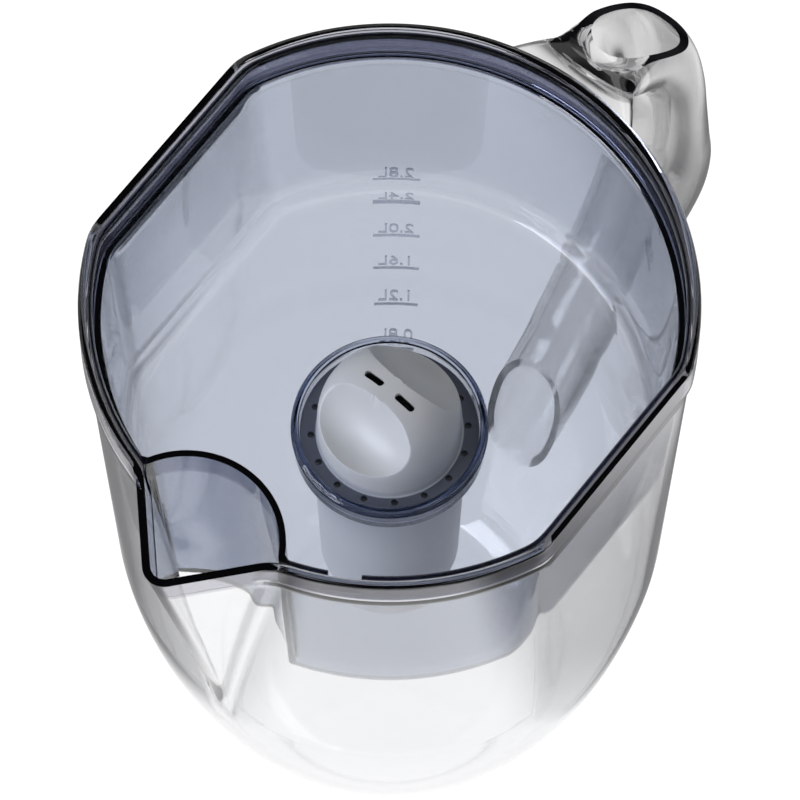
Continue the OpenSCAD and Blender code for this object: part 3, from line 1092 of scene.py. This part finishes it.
@dataclass
class Studio:
    """Floor, world, lamps and the camera at the photograph's view.

    A lamp is its x, y and z, its side and its power, in metres and watts.
    """
    focal: float = 6287.0
    frame_px: float = 800.0
    sensor: float = 36.0
    centre_px: float = 390.0
    place: tuple[float, float, float] = (-0.5679, -0.4346, 1.7858)
    right: tuple[float, float, float] = (0.6076, -0.7942, 0.0)
    up: tuple[float, float, float] = (0.7251, 0.5547, 0.4080)
    table: float = 340.0
    strip: tuple[float, float] = (0.062, 0.104)
    strip_end: tuple[float, float] = (0.13, 0.19)
    band_from: float = 0.25
    band_to: float = 0.5
    cap_from: float = 0.78
    cap_to: float = 0.88
    aim: tuple[float, float, float] = (0.0, 0.0, 0.15)
    lamps: tuple[tuple[float, float, float, float, float], ...] = (
        (-1.5, 0.8, 0.85, 1.2, 38.0), (1.6, 0.3, 1.6, 0.9, 4.0), (-0.6, -1.9, 0.9, 0.8, 3.0))

    def camera(self) -> Any:
        """A long lens on a square frame, set from the fitted view.

        Returns:
            The camera.
        """
        lens = bpy.data.cameras.new("photo_view")
        lens.sensor_width = self.sensor
        lens.lens = self.focal / self.frame_px * self.sensor
        lens.shift_x = (self.frame_px / 2 - self.centre_px) / self.frame_px
        lens.clip_end = 50.0
        made = bpy.data.objects.new("photo_view", lens)
        right, up = Vector(self.right).normalized(), Vector(self.up).normalized()
        turn = Matrix((right, up, right.cross(up))).transposed().to_4x4()
        made.matrix_world = Matrix.Translation(self.place) @ turn
        bpy.context.scene.collection.objects.link(made)
        bpy.context.scene.camera = made
        return made

    def world(self) -> None:
        """A plain world, white to the camera and pale through clear plastic.

        Gloss sees it dark, with one white ring that fades in from band_from to band_to and out from cap_from to
        cap_to. These are heights of a direction: 0 is the horizon and 1 is straight up.
        """
        sky = Graph("studio_walls")
        world = bpy.data.worlds.new("studio")
        world.use_nodes = True
        world.node_tree.nodes.clear()
        bpy.data.materials.remove(sky.material)
        sky.tree = world.node_tree
        _, _, height = sky.axes(sky.node("ShaderNodeTexCoord").out("Generated"))
        overhead = height.step(self.cap_from, self.cap_to)
        gloom = 1.0 - height.step(self.band_from, self.band_to) * (1.0 - overhead)
        path = sky.node("ShaderNodeLightPath")
        white = sky.node("ShaderNodeBackground", None, {"Color": (1.0, 1.0, 1.0)}).out()
        dark = sky.node("ShaderNodeBackground", None, {"Color": (0.05, 0.05, 0.06)}).out()
        dim = sky.node("ShaderNodeBackground", None, {"Color": (0.25, 0.26, 0.28)}).out()
        pale = sky.node("ShaderNodeBackground", None, {"Color": (0.93, 0.935, 0.945)}).out()
        light = sky.mix_shader(path.out("Is Glossy Ray"), dim, sky.mix_shader(gloom, white, dark))
        light = sky.mix_shader(path.out("Is Transmission Ray"), light, pale)
        light = sky.mix_shader(path.out("Is Camera Ray"), light, white)
        sky.node("ShaderNodeOutputWorld", None, {"Surface": light})
        bpy.context.scene.world = world

    def floor(self) -> Any:
        """A pale sheet that shows white to the camera.

        Clear plastic and gloss see it as white with a dim band on each side of the view, which fades in over
        strip and out over strip_end, in metres to the side.
        """
        g = Graph("studio_floor")
        paper = g.node("ShaderNodeBsdfDiffuse", None, {"Color": (0.86, 0.86, 0.87), "Roughness": 0.3}).out()
        white = g.node("ShaderNodeEmission", None, {"Color": (1.0, 1.0, 1.0), "Strength": 1.12}).out()
        dim = g.node("ShaderNodeEmission", None, {"Color": (0.26, 0.26, 0.265), "Strength": 1.0}).out()
        path = g.node("ShaderNodeLightPath")
        x, y, _ = g.axes(g.place())
        aside = ((x * self.right[0] + y * self.right[1]) ** 2.0) ** 0.5
        beyond = aside.step(*self.strip) * (1.0 - aside.step(*self.strip_end))
        beyond = beyond * (1.0 - path.out("Is Camera Ray"))
        clear_or_camera = path.out("Is Camera Ray").at_least(path.out("Is Transmission Ray"))
        seen = clear_or_camera.at_least(path.out("Is Glossy Ray"))
        ring = np.array([[-1.0, -1.0], [1.0, -1.0], [1.0, 1.0], [-1.0, 1.0]]) * self.table
        sheet = prism_mesh("studio_floor", ring[None], -4.0, -0.2)
        dress(sheet, g.finish(g.mix_shader(seen * 0.97, paper, g.mix_shader(beyond, white, dim))))
        return sheet

    def lights(self) -> None:
        """Soft square lamps, each turned to the pitcher."""
        for number, (x, y, z, side, power) in enumerate(self.lamps):
            lamp = bpy.data.lights.new(f"softbox_{number}", "AREA")
            lamp.size = side
            lamp.energy = power
            made = bpy.data.objects.new(f"softbox_{number}", lamp)
            made.location = (x, y, z)
            aim = Vector(self.aim) - made.location
            made.rotation_euler = aim.to_track_quat("-Z", "Y").to_euler()
            bpy.context.scene.collection.objects.link(made)

    def build(self) -> None:
        """Sets the whole stage."""
        self.camera()
        self.world()
        self.floor()
        self.lights()
        bpy.context.scene.view_settings.view_transform = "Standard"


# ---------------------------------------------------------------- assembly

@dataclass
class Pitcher:
    """The whole object: makes its pieces, and dresses the CAD nodes that stay."""
    nodes: dict[str, Any]
    finishes: dict[str, Any] = field(default_factory=dict)

    def make_finishes(self) -> None:
        """Builds each finish once."""
        for finish in (
                # The darker rim colours given to clear_plastic and tinted_plastic below are painted shade on their
                # upper edges.
                ClearPlastic("clear_plastic", (0.985, 0.986, 0.988), (0.97, 0.97, 0.975), (0.55, 0.57, 0.6),
                             60.0, (0.5, 0.5, 0.56), 0.2385),
                ClearPlastic("handle_plastic", (0.97, 0.97, 0.97), (0.97, 0.97, 0.975), (0.4, 0.4, 0.4),
                             150.0),
                ClearPlastic("tinted_plastic", (0.93, 0.936, 0.95), (0.96, 0.965, 0.98), (0.51, 0.56, 0.67),
                             520.0, (0.45, 0.46, 0.56), 0.2405),
                ClearPlastic("mark_relief", (0.62, 0.64, 0.70), (0.8, 0.8, 0.85)),
                # white_plastic's dark second colour is partly a darker ring and partly painted shade of the sunk
                # flange.
                SatinPlastic("white_plastic", (0.86, 0.85, 0.81), (0.16, 0.17, 0.2)),
                SatinPlastic("cup_plastic", (0.62, 0.62, 0.64), (0.62, 0.62, 0.64)),
                Granules("carbon_black", Grain.CARBON), Granules("resin_amber", Grain.RESIN),
                Felt("felt_white", (0.86, 0.86, 0.84)), WovenScreen("mesh_white", (0.8, 0.8, 0.8)),
                SoftRubber("seal_rubber", (0.3, 0.31, 0.34))):
            self.finishes[finish.name] = finish.build()

    def smoother(self) -> Any:
        """A node group that joins a CAD node's loose triangles and shades them smooth below 35 degrees."""
        group = bpy.data.node_groups.new("even_skin", "GeometryNodeTree")
        group.interface.new_socket("Geometry", in_out="INPUT", socket_type="NodeSocketGeometry")
        group.interface.new_socket("Geometry", in_out="OUTPUT", socket_type="NodeSocketGeometry")
        start, end = group.nodes.new("NodeGroupInput"), group.nodes.new("NodeGroupOutput")
        merge = group.nodes.new("GeometryNodeMergeByDistance")
        merge.inputs["Distance"].default_value = 0.00002
        angle = group.nodes.new("GeometryNodeInputMeshEdgeAngle")
        sharp = group.nodes.new("FunctionNodeCompare")
        sharp.data_type = "FLOAT"
        sharp.operation = "GREATER_THAN"
        sharp.inputs[1].default_value = math.radians(35.0)
        faces = group.nodes.new("GeometryNodeSetShadeSmooth")
        edges = group.nodes.new("GeometryNodeSetShadeSmooth")
        edges.domain = "EDGE"
        edges.inputs["Shade Smooth"].default_value = False
        group.links.new(start.outputs[0], merge.inputs["Geometry"])
        group.links.new(merge.outputs[0], faces.inputs["Geometry"])
        group.links.new(faces.outputs[0], edges.inputs["Geometry"])
        group.links.new(angle.outputs["Unsigned Angle"], sharp.inputs[0])
        group.links.new(sharp.outputs[0], edges.inputs["Selection"])
        group.links.new(edges.outputs[0], end.inputs[0])
        return group

    def keep(self, name: str, finish: str, group: Any) -> None:
        """Dresses a CAD node that stays as it is."""
        node = self.nodes[name]
        for place in node.material_slots:
            place.link = "OBJECT"
            place.material = self.finishes[finish]
        skin = node.modifiers.new("even_skin", "NODES")
        skin.node_group = group
        LOG.info("kept %s", name)

    def add(self, piece: Any, body: str, finish: str, slot: str, *replaced: str) -> None:
        """Dresses a new piece, sets its body and hides the CAD nodes it replaces."""
        dress(piece, self.finishes[finish])
        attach(piece, body)
        if replaced:
            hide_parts(*replaced)
        LOG.info("made %s: %d faces on %s", piece.name, len(piece.data.polygons), body)

    def build(self) -> None:
        """Makes every piece in order."""
        self.make_finishes()
        jug = JugShell()
        self.add(jug.build(), "jug", "clear_plastic", "clear_plastic", "jug")
        self.add(Grip(jug).build(), "jug", "handle_plastic", "clear_plastic", "handle")
        self.add(LitreNumbers(jug).build(), "jug", "mark_relief", "mark_relief")
        self.add(HopperTank(jug).build(), "hopper", "tinted_plastic", "tinted_plastic", "hopper")
        self.add(CartridgeCap().build(), "cartridge", "white_plastic", "white_plastic", "cartridge_cap")
        group = self.smoother()
        for name, finish in (("litre_marks", "mark_relief"), ("cartridge_cup", "cup_plastic"),
                             ("cartridge_seal", "seal_rubber"), ("inlet_screen", "mesh_white"),
                             ("carbon_bed", "carbon_black"), ("divider_felt", "felt_white"),
                             ("resin_bed", "resin_amber"), ("outlet_felt", "felt_white")):
            self.keep(name, finish, group)


def main(frame: dict[str, Any]) -> None:
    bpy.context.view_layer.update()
    Studio().build()
    Pitcher(frame["nodes"]).build()
    bpy.context.view_layer.update()


if __name__ == "__main__":
    logging.basicConfig(level=logging.INFO, format="%(message)s")
    main(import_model())
